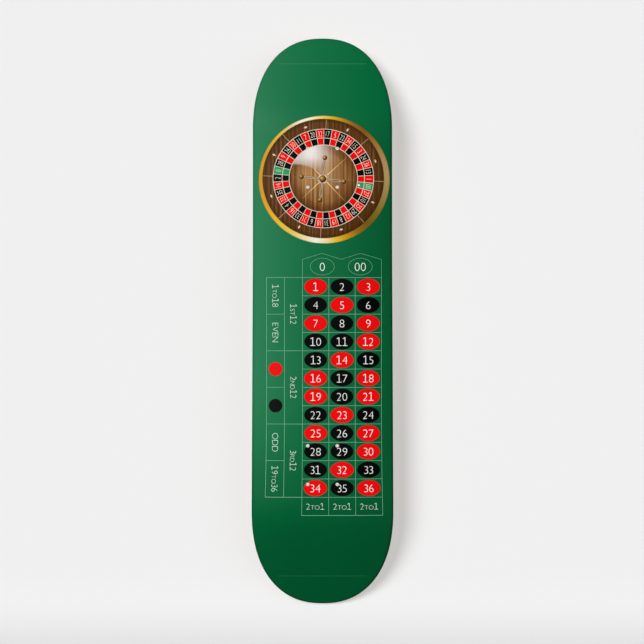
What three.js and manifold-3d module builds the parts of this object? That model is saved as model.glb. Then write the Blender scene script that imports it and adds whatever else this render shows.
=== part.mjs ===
// A bare skateboard deck: seven maple plies pressed into one board with a kicked nose and
// tail, a shallow concave, eight truck-bolt holes, and a printed film on the underside.
//
// Frame, in millimetres: Z runs along the deck with the tail up and the nose down, X runs
// across it, and the printed underside faces -Y. The origin is midway between the trucks, on
// the centreline, on the flat of the riding face. The kicks and the rails bend towards +Y.
//
// Every layer is drawn on one reference surface, the lower face of the first ply:
//   y = rise(x, z) - BOARD,  rise = kick(z) + fade(z) * concave(x)
// and a point of a layer stands at a depth from that surface. The depth is laid off in the
// YZ plane, so the rails are cut plumb and the ends are cut square to the kicks.

import * as THREE from 'three';
import * as BufferGeometryUtils from 'three/addons/utils/BufferGeometryUtils.js';
import Module from 'manifold-3d';

// Outline
const LENGTH = 802;          // tip to tip, straight along Z, before the edges are rounded
const NOSE_EXTRA = 13;       // how much further the nose reaches than the tail
const WIDTH = 195.3;         // across the tail half
const NOSE_FLARE = 3.6;      // extra width where the nose's rounding starts
const FLARE_START = 90;      // height where the deck starts to widen towards the nose
const END_LENGTH = 133;      // straight length of each rounded end
const END_POWER = 2.3;       // superellipse power of the rounded ends

// Truck-bolt holes
const WHEELBASE = 361.95;    // between the inner rows of holes
const BOLT_ALONG = 53.975;   // between the two rows of one truck
const BOLT_ACROSS = 41.275;  // between the two holes of a row
const HOLE_DIAMETER = 5.0;
const SEAT_MARGIN = 4.76;    // flat wood outside the holes, under a truck's baseplate

// Kicks and concave
const KICK_GAP = 16.05;      // from the outer row of holes to the start of the bend
const KICK_RADIUS = 140;     // of the bend, on the underside
const KICK_ANGLE = THREE.MathUtils.degToRad(20);
const CONCAVE_DEPTH = 9;     // how far the rails rise over the flat centre
const END_CONCAVE = 0.45;    // share of the concave that is left at the tips

// Layers
const PLY = 1.5;             // thickness of one veneer
const PLY_COUNT = 7;
const FILM = 0.15;           // printed film with its lacquer
const GLUE_GAP = 0.05;       // glue line between two layers
const EDGE_RADIUS = 4;       // rounding of the rails, above and below
const FILM_WRAP = THREE.MathUtils.degToRad(76);   // how far the film rolls round the lower edge

// Mesh steps
const BEND_STEPS = 4;
const TIP_STEPS = 7;
const RAIL_STEPS = 3;        // columns from the flat centre out to a rail
const EDGE_STEPS = 5;        // round the edge of one ply
const WRAP_STEPS = 12;       // of the film where it rolls over the lower edge
const HOLE_SIDES = 12;

const BOARD = PLY_COUNT * PLY + (PLY_COUNT - 1) * GLUE_GAP;
const TAIL_TIP = (LENGTH - NOSE_EXTRA) / 2;
const NOSE_TIP = (LENGTH + NOSE_EXTRA) / 2;
const INNER_ROW = WHEELBASE / 2;
const OUTER_ROW = INNER_ROW + BOLT_ALONG;
const KICK_START = OUTER_ROW + KICK_GAP;
const BEND_LENGTH = KICK_RADIUS * Math.sin(KICK_ANGLE);
const SEAT_HALF = (BOLT_ACROSS + HOLE_DIAMETER) / 2 + SEAT_MARGIN;

const wasm = await Module();
wasm.setup();

// Plan outline ---------------------------------------------------------------

function tipReach(side) {
  return side > 0 ? TAIL_TIP : NOSE_TIP;
}

// Half the deck's width before its ends are rounded.
function bodyHalfWidth(z) {
  const flareEnd = -(NOSE_TIP - END_LENGTH);
  const share = THREE.MathUtils.clamp((FLARE_START - z) / (FLARE_START - flareEnd), 0, 1);
  return (WIDTH + NOSE_FLARE * share) / 2;
}

// Half width at a height, for the outline drawn in by an inset.
function halfWidth(z, inset) {
  const body = bodyHalfWidth(z) - inset;
  const past = Math.abs(z) - (tipReach(Math.sign(z)) - END_LENGTH);
  const t = THREE.MathUtils.clamp(past / (END_LENGTH - inset), 0, 1);
  return body * Math.pow(1 - Math.pow(t, END_POWER), 1 / END_POWER);
}

// Pressed shape --------------------------------------------------------------

// A level board, then a bend of KICK_RADIUS, then a straight slope at KICK_ANGLE.
function kick(z) {
  const run = Math.max(0, Math.abs(z) - KICK_START);
  if (run <= BEND_LENGTH) return KICK_RADIUS - Math.sqrt(KICK_RADIUS ** 2 - run ** 2);
  const bendRise = KICK_RADIUS * (1 - Math.cos(KICK_ANGLE));
  return bendRise + (run - BEND_LENGTH) * Math.tan(KICK_ANGLE);
}

// A flat centre, then an arc that has risen CONCAVE_DEPTH at the rail.
function concave(x) {
  const run = Math.max(0, Math.abs(x) - SEAT_HALF);
  const reach = WIDTH / 2 - SEAT_HALF;
  const radius = (reach ** 2 + CONCAVE_DEPTH ** 2) / (2 * CONCAVE_DEPTH);
  return radius - Math.sqrt(radius ** 2 - run ** 2);
}

function concaveFade(z) {
  const reach = tipReach(Math.sign(z));
  return 1 - (1 - END_CONCAVE) * THREE.MathUtils.smoothstep(Math.abs(z), KICK_START, reach);
}

function rise(x, z) {
  return kick(z) + concaveFade(z) * concave(x);
}

// With n the surface's normal, stepping t along (0, 1, -slopeZ) gains a depth of
// t * (1 + slopeZ^2) / |(slopeX, 1, slopeZ)|.
function surfacePoint(x, z, depth) {
  const step = 0.01;
  const slopeX = (rise(x + step, z) - rise(x - step, z)) / (2 * step);
  const slopeZ = (rise(x, z + step) - rise(x, z - step)) / (2 * step);
  const t = (depth * Math.hypot(slopeX, 1, slopeZ)) / (1 + slopeZ ** 2);
  return new THREE.Vector3(x, rise(x, z) - BOARD + t, z - t * slopeZ);
}

// Layers ---------------------------------------------------------------------

// Heights of the rows of points on one end, from the start of the kick to just short of the
// tip, closer together where the outline turns faster.
function endRows(side, inset) {
  const rows = [KICK_START];
  for (let k = 1; k <= BEND_STEPS; k++) {
    rows.push(KICK_START + KICK_RADIUS * Math.sin((KICK_ANGLE * k) / BEND_STEPS));
  }
  const bendEnd = KICK_START + BEND_LENGTH;
  const reach = tipReach(side) - inset - bendEnd;
  for (let k = 1; k < TIP_STEPS; k++) {
    rows.push(bendEnd + reach * (1 - (1 - k / TIP_STEPS) ** 2));
  }
  return rows.map((z) => side * z);
}

// The points across one row: rail, flat centre, rail.
function rowColumns(z, inset) {
  const rail = halfWidth(z, inset);
  const centre = Math.min(SEAT_HALF, rail / 2);
  const right = [];
  for (let k = 0; k <= RAIL_STEPS; k++) {
    right.push(centre + ((rail - centre) * k) / RAIL_STEPS);
  }
  return [...right.map((x) => -x).reverse(), ...right];
}

// One face of a layer, as a grid with a point at each tip. An inset draws its outline in.
function facePoints({ inset, depth }) {
  const heights = [...endRows(1, inset).reverse(), FLARE_START, ...endRows(-1, inset)];
  const points = [surfacePoint(0, TAIL_TIP - inset, depth)];
  for (const z of heights) {
    for (const x of rowColumns(z, inset)) points.push(surfacePoint(x, z, depth));
  }
  points.push(surfacePoint(0, -(NOSE_TIP - inset), depth));
  return points;
}

const COLUMNS = 2 * (RAIL_STEPS + 1);
const ROWS = 2 * (BEND_STEPS + TIP_STEPS) + 1;
const TAIL_POINT = 0;
const NOSE_POINT = 1 + ROWS * COLUMNS;
const FACE_POINTS = NOSE_POINT + 1;

function gridPoint(row, column) {
  return 1 + row * COLUMNS + column;
}

// Triangles of a face that looks towards -Y.
function faceTriangles() {
  const triangles = [];
  for (let j = 0; j < COLUMNS - 1; j++) {
    triangles.push([TAIL_POINT, gridPoint(0, j), gridPoint(0, j + 1)]);
    for (let i = 0; i < ROWS - 1; i++) {
      const [a, b] = [gridPoint(i, j), gridPoint(i, j + 1)];
      const [c, d] = [gridPoint(i + 1, j), gridPoint(i + 1, j + 1)];
      triangles.push([a, c, d], [a, d, b]);
    }
    triangles.push([NOSE_POINT, gridPoint(ROWS - 1, j + 1), gridPoint(ROWS - 1, j)]);
  }
  return triangles;
}

// The rim of a face: down the left rail from the tail's tip, and up the right rail.
function rimLoop() {
  const loop = [TAIL_POINT];
  for (let i = 0; i < ROWS; i++) loop.push(gridPoint(i, 0));
  loop.push(NOSE_POINT);
  for (let i = ROWS - 1; i >= 0; i--) loop.push(gridPoint(i, COLUMNS - 1));
  return loop;
}

// A closed layer from a list of levels, each an inset and a depth. The first and last levels
// are whole faces, and those between them only shape the edge.
function layerMesh(levels) {
  const positions = [];
  for (const level of levels) {
    for (const point of facePoints(level)) positions.push(...point.toArray());
  }
  const last = (levels.length - 1) * FACE_POINTS;
  const index = [];
  for (const [a, b, c] of faceTriangles()) {
    index.push(a, b, c);
    index.push(last + a, last + c, last + b);
  }
  const loop = rimLoop();
  for (let k = 0; k < levels.length - 1; k++) {
    const [near, far] = [k * FACE_POINTS, (k + 1) * FACE_POINTS];
    loop.forEach((here, i) => {
      const next = loop[(i + 1) % loop.length];
      index.push(near + next, near + here, far + here);
      index.push(near + next, far + here, far + next);
    });
  }
  const geometry = new THREE.BufferGeometry();
  geometry.setAttribute('position', new THREE.Float32BufferAttribute(positions, 3));
  geometry.setIndex(index);
  return geometry;
}

// How far the rounded edge stands in from the widest outline, at a depth in the board.
function edgeInset(depth) {
  const toFace = Math.max(0, Math.min(depth, BOARD - depth));
  const lift = Math.max(0, EDGE_RADIUS - toFace);
  return EDGE_RADIUS - Math.sqrt(EDGE_RADIUS ** 2 - lift ** 2);
}

// Solids ---------------------------------------------------------------------

function toSolid(geometry) {
  const plain = geometry.clone();
  plain.deleteAttribute('normal');
  plain.deleteAttribute('uv');
  const merged = BufferGeometryUtils.mergeVertices(plain, 1e-5);
  const used = new Set(merged.index.array);
  const order = [...used];
  const renumber = new Map(order.map((old, k) => [old, k]));
  const vertices = new Float32Array(order.length * 3);
  order.forEach((old, k) => {
    vertices.set(merged.attributes.position.array.subarray(old * 3, old * 3 + 3), k * 3);
  });
  const triangles = Uint32Array.from(merged.index.array, (old) => renumber.get(old));
  return new wasm.Manifold(
    new wasm.Mesh({ numProp: 3, vertProperties: vertices, triVerts: triangles }));
}

function toGeometry(solid) {
  const mesh = solid.getMesh();
  const geometry = new THREE.BufferGeometry();
  geometry.setAttribute('position', new THREE.Float32BufferAttribute(mesh.vertProperties, 3));
  geometry.setIndex(new THREE.Uint32BufferAttribute(mesh.triVerts, 1));
  geometry.computeVertexNormals();
  return geometry;
}

// One drill per truck bolt, standing through the whole board along Y.
function drillSolids() {
  const drills = [];
  const length = 3 * BOARD;
  for (const z of [OUTER_ROW, INNER_ROW, -INNER_ROW, -OUTER_ROW]) {
    for (const side of [-1, 1]) {
      const drill = new THREE.CylinderGeometry(
        HOLE_DIAMETER / 2, HOLE_DIAMETER / 2, length, HOLE_SIDES);
      drill.translate((side * BOLT_ACROSS) / 2, -BOARD / 2, z);
      drills.push(toSolid(drill));
    }
  }
  return drills;
}

const DRILLS = drillSolids();

function drilledMesh(name, levels, material) {
  let solid = toSolid(layerMesh(levels));
  for (const drill of DRILLS) solid = solid.subtract(drill);
  const mesh = new THREE.Mesh(toGeometry(solid), material);
  mesh.name = name;
  return mesh;
}

// Pieces ---------------------------------------------------------------------

// The plies from the underside up. Long-grain and cross-grain veneers alternate as they do
// in a pressed deck: two cross bands, with the rest along the board.
const PLIES = [
  { name: 'ply_1_bottom_face', color: 0xe3c79b, roughness: 0.55 },
  { name: 'ply_2_long', color: 0xd8b98a, roughness: 0.7 },
  { name: 'ply_3_cross', color: 0xc39a68, roughness: 0.75 },
  { name: 'ply_4_core', color: 0xdcbf92, roughness: 0.7 },
  { name: 'ply_5_cross', color: 0xc39a68, roughness: 0.75 },
  { name: 'ply_6_long', color: 0xd8b98a, roughness: 0.7 },
  { name: 'ply_7_top_face', color: 0xe6cda3, roughness: 0.45 },
];

// The levels of one ply. The glue line under a ply shares its inset with the ply below, so the
// two faces that meet there run parallel everywhere. The steps of the two face plies crowd
// towards the face, where the rounding turns fastest.
function plyLevels(place) {
  const bottom = place * (PLY + GLUE_GAP);
  const seamBelow = place === 0 ? bottom : bottom - GLUE_GAP / 2;
  const seamAbove = place === PLY_COUNT - 1 ? BOARD : bottom + PLY + GLUE_GAP / 2;
  const levels = [];
  for (let step = 0; step <= EDGE_STEPS; step++) {
    let share = step / EDGE_STEPS;
    if (place === 0) share = share ** 2;
    if (place === PLY_COUNT - 1) share = 1 - (1 - share) ** 2;
    const seam = THREE.MathUtils.lerp(seamBelow, seamAbove, share);
    levels.push({ inset: edgeInset(seam), depth: bottom + PLY * share });
  }
  return levels;
}

function plyMesh({ name, color, roughness }, place) {
  const material = new THREE.MeshStandardMaterial({ color, roughness, metalness: 0 });
  return drilledMesh(name, plyLevels(place), material);
}

// The film lies on the lower face and rolls over the rounded lower edge.
function filmMesh() {
  const edgeLevel = (radius, step) => {
    const angle = (FILM_WRAP * step) / WRAP_STEPS;
    return {
      inset: EDGE_RADIUS - radius * Math.sin(angle),
      depth: EDGE_RADIUS - radius * Math.cos(angle),
    };
  };
  const levels = [];
  for (let step = 0; step <= WRAP_STEPS; step++) {
    levels.push(edgeLevel(EDGE_RADIUS + GLUE_GAP + FILM, step));
  }
  for (let step = WRAP_STEPS; step >= 0; step--) {
    levels.push(edgeLevel(EDGE_RADIUS + GLUE_GAP, step));
  }
  const material = new THREE.MeshStandardMaterial({
    color: 0x1c7048, roughness: 0.35, metalness: 0 });
  return drilledMesh('graphic_film', levels, material);
}

const deck = new THREE.Group();
deck.name = 'skateboard_deck';
deck.add(filmMesh());
PLIES.slice(0, PLY_COUNT).forEach((ply, place) => deck.add(plyMesh(ply, place)));

export default deck;
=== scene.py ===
"""Looks for a bare skateboard deck: its pressed maple plies, and the roulette table printed
on its underside.

The frame stands the deck upright with its tail up: Z runs along it, X across it, and the
printed underside faces -Y. All lengths are metres. The print is laid on in thin inks over the
film, each ink a closed plate that follows the pressed surface at its own depth."""
import math

import bmesh
import bpy
import numpy as np
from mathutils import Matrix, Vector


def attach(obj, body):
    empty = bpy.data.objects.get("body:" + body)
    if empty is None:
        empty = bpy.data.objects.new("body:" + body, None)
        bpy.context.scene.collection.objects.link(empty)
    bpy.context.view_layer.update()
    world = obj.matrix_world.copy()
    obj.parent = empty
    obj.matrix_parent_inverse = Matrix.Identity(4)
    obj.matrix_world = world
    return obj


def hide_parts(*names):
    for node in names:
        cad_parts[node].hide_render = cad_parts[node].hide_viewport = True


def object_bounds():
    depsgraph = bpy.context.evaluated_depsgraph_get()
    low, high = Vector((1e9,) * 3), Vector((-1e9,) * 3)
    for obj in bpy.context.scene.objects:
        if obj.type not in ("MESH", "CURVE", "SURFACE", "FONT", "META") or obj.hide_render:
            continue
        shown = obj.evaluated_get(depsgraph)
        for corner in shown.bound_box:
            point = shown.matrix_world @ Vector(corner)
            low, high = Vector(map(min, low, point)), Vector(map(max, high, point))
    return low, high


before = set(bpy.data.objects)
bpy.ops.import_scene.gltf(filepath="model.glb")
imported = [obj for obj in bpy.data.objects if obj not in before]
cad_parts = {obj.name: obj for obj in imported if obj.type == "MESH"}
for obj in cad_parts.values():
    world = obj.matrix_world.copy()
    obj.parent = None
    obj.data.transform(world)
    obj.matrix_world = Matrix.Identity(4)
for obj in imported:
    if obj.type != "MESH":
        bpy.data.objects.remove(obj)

bl_info = {
    "name": "Roulette Deck",
    "version": (1, 0, 0),
    "blender": (4, 5, 0),
    "location": "3D View > Sidebar > Deck",
    "description": "Builds a pressed maple skateboard deck with a printed roulette table",
    "category": "Object",
}

CAD_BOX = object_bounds()
MM = 0.001
PLY_NODES = ["ply_1_bottom_face", "ply_2_long", "ply_3_cross", "ply_4_core",
             "ply_5_cross", "ply_6_long", "ply_7_top_face"]
RED_NUMBERS = {1, 3, 5, 7, 9, 12, 14, 16, 18, 19, 21, 23, 25, 27, 30, 32, 34, 36}


# Sizes and colours ----------------------------------------------------------

def length(name, description, millimetres):
    """A length property, given in millimetres and kept in metres."""
    return bpy.props.FloatProperty(name=name, description=description, unit="LENGTH",
                                   default=millimetres * MM, precision=5)


def angle(name, description, degrees):
    """An angle property, given in degrees and kept in radians."""
    return bpy.props.FloatProperty(name=name, description=description, subtype="ANGLE",
                                   unit="ROTATION", default=math.radians(degrees))


def amount(name, description, value):
    """A plain number property."""
    return bpy.props.FloatProperty(name=name, description=description, default=value)


def colour(name, description, red, green, blue):
    """A colour property, given as display values from 0 to 255 and kept linear."""
    linear = [srgb_to_linear(v) for v in (red, green, blue)]
    return bpy.props.FloatVectorProperty(name=name, description=description, size=3,
                                         subtype="COLOR", min=0, max=1, default=linear)


def srgb_to_linear(value):
    """Linear light for a display value from 0 to 255: a straight toe, then a 2.4 power."""
    v = value / 255
    return v / 12.92 if v <= 0.04045 else ((v + 0.055) / 1.055) ** 2.4


class DeckShape(bpy.types.PropertyGroup):
    """The pressed board, with the same sizes as its frame."""
    length: length("Length", "Tip to tip before the edges are rounded", 802)
    nose_extra: length("Nose extra", "How much further the nose reaches than the tail", 13)
    width: length("Width", "Across the tail half", 195.3)
    nose_flare: length("Nose flare", "Extra width where the nose's rounding starts", 3.6)
    flare_start: length("Flare start", "Height where the deck starts to widen", 90)
    end_length: length("End length", "Straight length of each rounded end", 133)
    end_power: amount("End power", "Superellipse power of the rounded ends", 2.3)
    wheelbase: length("Wheelbase", "Between the inner rows of bolt holes", 361.95)
    bolt_along: length("Bolts along", "Between the two rows of one truck", 53.975)
    bolt_across: length("Bolts across", "Between the two holes of a row", 41.275)
    hole_diameter: length("Hole diameter", "Truck bolt hole", 5.0)
    seat_margin: length("Seat margin", "Flat wood outside the holes", 4.76)
    kick_gap: length("Kick gap", "From the outer holes to the bend", 16.05)
    kick_radius: length("Kick radius", "Bend radius on the underside", 140)
    kick_angle: angle("Kick angle", "Slope of the nose and the tail", 20)
    concave_depth: length("Concave", "How far the rails rise", 9)
    end_concave: amount("End concave", "Share of the concave left at the tips", 0.45)
    ply: length("Ply", "Thickness of one veneer", 1.5)
    glue_gap: length("Glue gap", "Glue line between two layers", 0.05)
    edge_radius: length("Edge radius", "Rounding of the rails", 4)
    film_wrap: angle("Film wrap", "How far the film rolls round the lower edge", 76)


class WheelPrint(bpy.types.PropertyGroup):
    """The printed wheel: ellipses round two close centres, as radii across and along."""
    rim_x: length("Rim centre X", "Centre of the gold rim's outside", 2.4)
    rim_z: length("Rim centre Z", "Centre of the gold rim's outside", 191.3)
    rim_across: length("Rim across", "Half width of the gold rim", 91.6)
    rim_along: length("Rim along", "Half height of the gold rim", 89.3)
    hub_x: length("Hub X", "Centre of the rings inside the rim", 1.2)
    hub_z: length("Hub Z", "Centre of the rings inside the rim", 192.8)
    track_across: length("Track across", "Half width of the wooden track", 85.0)
    track_along: length("Track along", "Half height of the wooden track", 83.4)
    ring_outer: length("Number ring", "Outer radius of the number ring", 70.4)
    ring_middle: length("Ring middle", "Radius between numbers and pockets", 57.6)
    ring_inner: length("Ring inner", "Inner radius of the pockets", 47.8)
    line: length("Line", "Width of the wheel's pale lines", 0.85)
    diamond_radius: length("Diamond radius", "Radius of the eight diamonds", 76.9)
    arm: length("Arm", "From the hub to the ball on an arm", 29.7)
    first_pocket: angle("First pocket", "Direction of the single zero's pocket", 169.8)


class LayoutPrint(bpy.types.PropertyGroup):
    """The printed betting layout."""
    top: length("Top", "Height of the line over the first row", 54.4)
    row: length("Row", "Pitch of the twelve rows", 25.6)
    outside_left: length("Outside left", "Left line of the outside bets", -78.3)
    dozens_left: length("Dozens left", "Left line of the dozens", -53.1)
    numbers_left: length("Numbers left", "Left line of the numbers", -27.95)
    column: length("Column", "Pitch of the three number columns", 36.8)
    line: length("Line", "Width of the lines", 0.48)
    foot_line: length("Foot line", "Width of the lines that close the layout", 0.66)
    faint_line: length("Faint line", "Width of the roof's and the ovals' lines", 0.36)
    spot_across: length("Spot across", "Half width of a number's oval", 16.0)
    spot_along: length("Spot along", "Half height of a number's oval", 11.2)
    dot: length("Dot", "Radius of the two outside dots", 9.6)
    digit: length("Digit", "Height of the numbers", 11.9)
    zero: length("Zero", "Height of the zeros under the roof", 12.6)
    word: length("Word", "Height of the capitals of the words", 9.2)


class InkColours(bpy.types.PropertyGroup):
    """The inks and the wood."""
    ground: colour("Ground", "Baize green halfway along, on the centreline", 0, 103, 57)
    red: colour("Red", "Red of the spots and pockets", 232, 4, 6)
    black: colour("Black", "Black of the spots and pockets", 4, 4, 5)
    zero: colour("Zero", "Green of the two zero pockets", 46, 150, 94)
    white: colour("White", "White of the numbers", 238, 242, 236)
    word: colour("Word", "White of the words, let down a little by the green", 206, 226, 214)
    line: colour("Line", "Thin white of the lines, let down by the green under it",
                 130, 186, 157)
    gilt: colour("Gilt line", "Pale gold of the wheel's thin lines", 206, 182, 134)
    ivory: colour("Ivory", "The ball", 246, 242, 230)
    maple_light: colour("Maple light", "Early wood of the face veneers", 226, 198, 152)
    maple_dark: colour("Maple dark", "Late wood of the face veneers", 196, 158, 108)
    band_light: colour("Band light", "Early wood of the cross bands", 196, 154, 104)
    band_dark: colour("Band dark", "Late wood of the cross bands", 150, 106, 64)


class Studio(bpy.types.PropertyGroup):
    """Camera and light."""
    distance: length("Distance", "From the underside to the camera", 3500)
    lens: amount("Lens", "Focal length in millimetres", 140)
    aim_x: length("Aim X", "Where the camera looks, across", -0.7)
    aim_z: length("Aim Z", "Where the camera looks, along", -7.8)
    key: amount("Key", "Strength of the key light, from the upper left", 2.8)
    key_spread: angle("Key spread", "Width of the key light as seen from the deck", 30)
    fill: amount("Fill", "Strength of the fill light, from the right", 0.7)
    rear: amount("Rear", "Strength of the light on the riding face", 0.5)
    air: amount("Air", "Strength of the light from all round", 0.10)
    back: bpy.props.FloatProperty(name="Back", description="Power of the light behind",
                                  unit="POWER", default=36)
    paper: amount("Paper", "Share of the light that the paper gives back", 0.47)
    glow: amount("Glow", "Light that the paper gives off by itself", 0.40)


# The board as formulas ------------------------------------------------------

class Board:
    """The pressed board as formulas of x and z, the same as its frame's.

    The lower face of the first ply lies at y = rise(x, z) - thickness, with
    rise = kick(z) + fade(z) * concave(x), and depth is laid off from it towards +Y."""

    bend_steps = 12
    tip_steps = 30
    level_steps = 36

    def __init__(self, shape):
        self.shape = shape
        plies = len(PLY_NODES)
        self.thickness = plies * shape.ply + (plies - 1) * shape.glue_gap
        self.tail_tip = (shape.length - shape.nose_extra) / 2
        self.nose_tip = (shape.length + shape.nose_extra) / 2
        self.inner_row = shape.wheelbase / 2
        self.outer_row = self.inner_row + shape.bolt_along
        self.kick_start = self.outer_row + shape.kick_gap
        self.bend = shape.kick_radius * math.sin(shape.kick_angle)
        self.seat_half = (shape.bolt_across + shape.hole_diameter) / 2 + shape.seat_margin

    def reach(self, z):
        """Distance from the middle to the tip on the side that z is on."""
        return np.where(np.asarray(z) > 0, self.tail_tip, self.nose_tip)

    def kick(self, z):
        """Level, then a circle of kick_radius, then a straight slope at kick_angle."""
        radius, slope = self.shape.kick_radius, self.shape.kick_angle
        run = np.maximum(0, np.abs(z) - self.kick_start)
        bent = np.minimum(run, self.bend)
        return (radius - np.sqrt(radius ** 2 - bent ** 2)
                + (run - bent) * math.tan(slope))

    def concave(self, x):
        """Flat over the seat, then a circle that has risen concave_depth at the rail."""
        depth = self.shape.concave_depth
        reach = self.shape.width / 2 - self.seat_half
        radius = (reach ** 2 + depth ** 2) / (2 * depth)
        run = np.maximum(0, np.abs(x) - self.seat_half)
        return radius - np.sqrt(radius ** 2 - run ** 2)

    def fade(self, z):
        """One along the middle, easing to end_concave at the tips."""
        span = self.reach(z) - self.kick_start
        t = np.clip((np.abs(z) - self.kick_start) / span, 0, 1)
        return 1 - (1 - self.shape.end_concave) * t * t * (3 - 2 * t)

    def rise(self, x, z):
        return self.kick(z) + self.fade(z) * self.concave(x)

    def slopes(self, x, z):
        """Slopes of the surface across and along, by central differences."""
        step = 0.01 * MM
        across = (self.rise(x + step, z) - self.rise(x - step, z)) / (2 * step)
        along = (self.rise(x, z + step) - self.rise(x, z - step)) / (2 * step)
        return across, along

    def place(self, x, z, depth):
        """Points at a depth: stepping t along (0, 1, -along) gains t (1 + along^2) / |n|."""
        across, along = self.slopes(x, z)
        t = depth * np.sqrt(across ** 2 + 1 + along ** 2) / (1 + along ** 2)
        return np.stack([x, self.rise(x, z) - self.thickness + t, z - t * along], axis=-1)

    def facing(self, x, z):
        """Unit normals of the underside, towards -Y."""
        across, along = self.slopes(x, z)
        normal = np.stack([across, -np.ones_like(across), along], axis=-1)
        return normal / np.linalg.norm(normal, axis=-1, keepdims=True)

    def half_width(self, z, inset):
        """Body width with the nose's flare, times a superellipse over each rounded end."""
        shape = self.shape
        flare_end = -(self.nose_tip - shape.end_length)
        share = np.clip((shape.flare_start - z) / (shape.flare_start - flare_end), 0, 1)
        body = (shape.width + shape.nose_flare * share) / 2 - inset
        past = np.abs(z) - (self.reach(z) - shape.end_length)
        t = np.clip(past / (shape.end_length - inset), 0, 1)
        return body * (1 - t ** shape.end_power) ** (1 / shape.end_power)

    def end_heights(self, tip, inset):
        """Heights of the rows over one end: even steps round the bend, then even steps of
        the superellipse's angle up to just short of the tip."""
        shape = self.shape
        turn = np.linspace(0, shape.kick_angle, self.bend_steps + 1)
        bend = self.kick_start + shape.kick_radius * np.sin(turn)
        base = tip - shape.end_length
        start = np.clip((bend[-1] - base) / shape.end_length, 0, 0.95)
        first = math.asin(start ** (shape.end_power / 2))
        swing = np.linspace(first, math.pi / 2, self.tip_steps + 1)[1:-1]
        reached = np.sin(swing) ** (2 / shape.end_power)
        share = (reached - start) / (1 - start)
        return np.concatenate([bend, bend[-1] + (tip - inset - bend[-1]) * share])

    def face_points(self, inset, columns):
        """One face as rows of plan points (x, z), with the two tips apart. Across a row the
        columns keep the flat seat, and spread evenly from it to the rails."""
        tail = self.end_heights(self.tail_tip, inset)[::-1]
        nose = -self.end_heights(self.nose_tip, inset)
        level = np.linspace(self.kick_start, -self.kick_start, self.level_steps + 1)[1:-1]
        z = np.concatenate([tail, level, nose])[:, None]
        rail = self.half_width(z, inset)
        centre = np.minimum(self.seat_half, rail / 2)
        seat = np.linspace(-1, 1, 5)[None, :] * centre
        out = np.linspace(0, 1, columns + 1)[None, 1:]
        right = centre + (rail - centre) * out
        x = np.concatenate([-right[:, ::-1], seat, right], axis=1)
        return x, np.broadcast_to(z, x.shape)

    def edge_inset(self, depth):
        """How far the rounded edge stands in at a depth: a quarter circle at each face."""
        radius = self.shape.edge_radius
        to_face = np.maximum(0, np.minimum(depth, self.thickness - depth))
        lift = np.maximum(0, radius - to_face)
        return radius - np.sqrt(radius ** 2 - lift ** 2)

    def hole_centres(self):
        """Plan points of the eight bolt holes."""
        across = self.shape.bolt_across / 2
        rows = [self.outer_row, self.inner_row, -self.inner_row, -self.outer_row]
        return [(side * across, z) for z in rows for side in (-1, 1)]


def layer_arrays(board, levels, columns):
    """A closed layer from levels, each an inset and a depth. The first and the last level are
    whole faces, and those between them shape the edge: rings of points, sewn in order."""
    points = []
    for inset, depth in levels:
        x, z = board.face_points(inset, columns)
        tips = np.array([board.tail_tip - inset, -(board.nose_tip - inset)])
        grid = board.place(x, z, depth)
        ends = board.place(np.zeros(2), tips, depth)
        points.append(np.concatenate([grid.reshape(-1, 3), ends]))
    rows, cols = x.shape
    size = rows * cols + 2
    index = np.arange(rows * cols).reshape(rows, cols)
    tail, nose = size - 2, size - 1
    quads = np.stack([index[:-1, :-1], index[1:, :-1], index[1:, 1:], index[:-1, 1:]], axis=-1)
    quads = quads.reshape(-1, 4)
    tail_fan = np.stack([np.full(cols - 1, tail), index[0, :-1], index[0, 1:]], axis=-1)
    nose_fan = np.stack([np.full(cols - 1, nose), index[-1, 1:], index[-1, :-1]], axis=-1)
    fans = np.concatenate([tail_fan, nose_fan])
    loop = np.concatenate([[tail], index[:, 0], [nose], index[::-1, -1]])
    ahead = np.roll(loop, -1)
    last = (len(levels) - 1) * size
    faces = quads.tolist() + fans.tolist()
    faces += (quads[:, ::-1] + last).tolist() + (fans[:, ::-1] + last).tolist()
    for k in range(len(levels) - 1):
        near, far = k * size, (k + 1) * size
        rim = np.stack([near + ahead, near + loop, far + loop, far + ahead], axis=-1)
        faces += rim.tolist()
    return compact(np.concatenate(points), faces)


def compact(points, faces):
    """The same faces with the points that no face uses taken out."""
    used = np.unique(np.concatenate([np.asarray(face) for face in faces]))
    renumber = np.full(len(points), -1)
    renumber[used] = np.arange(len(used))
    return points[used], [[int(renumber[v]) for v in face] for face in faces]


# Mesh helpers ---------------------------------------------------------------

CREASE = math.radians(35)   # a wider turn between two faces is kept as a sharp edge
DRILL_SIDES = 32


def new_piece(name, points, faces, material, slot):
    """A smooth piece that rides on the deck, with its edges over CREASE kept sharp."""
    mesh = bpy.data.meshes.new(name)
    mesh.from_pydata(points.tolist(), [], faces)
    mesh.update()
    piece = bpy.data.objects.new(name, mesh)
    bpy.context.scene.collection.objects.link(piece)
    mesh.materials.append(material)
    mesh.shade_smooth()
    mesh.set_sharp_from_angle(angle=CREASE)
    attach(piece, "root")
    return piece


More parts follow.
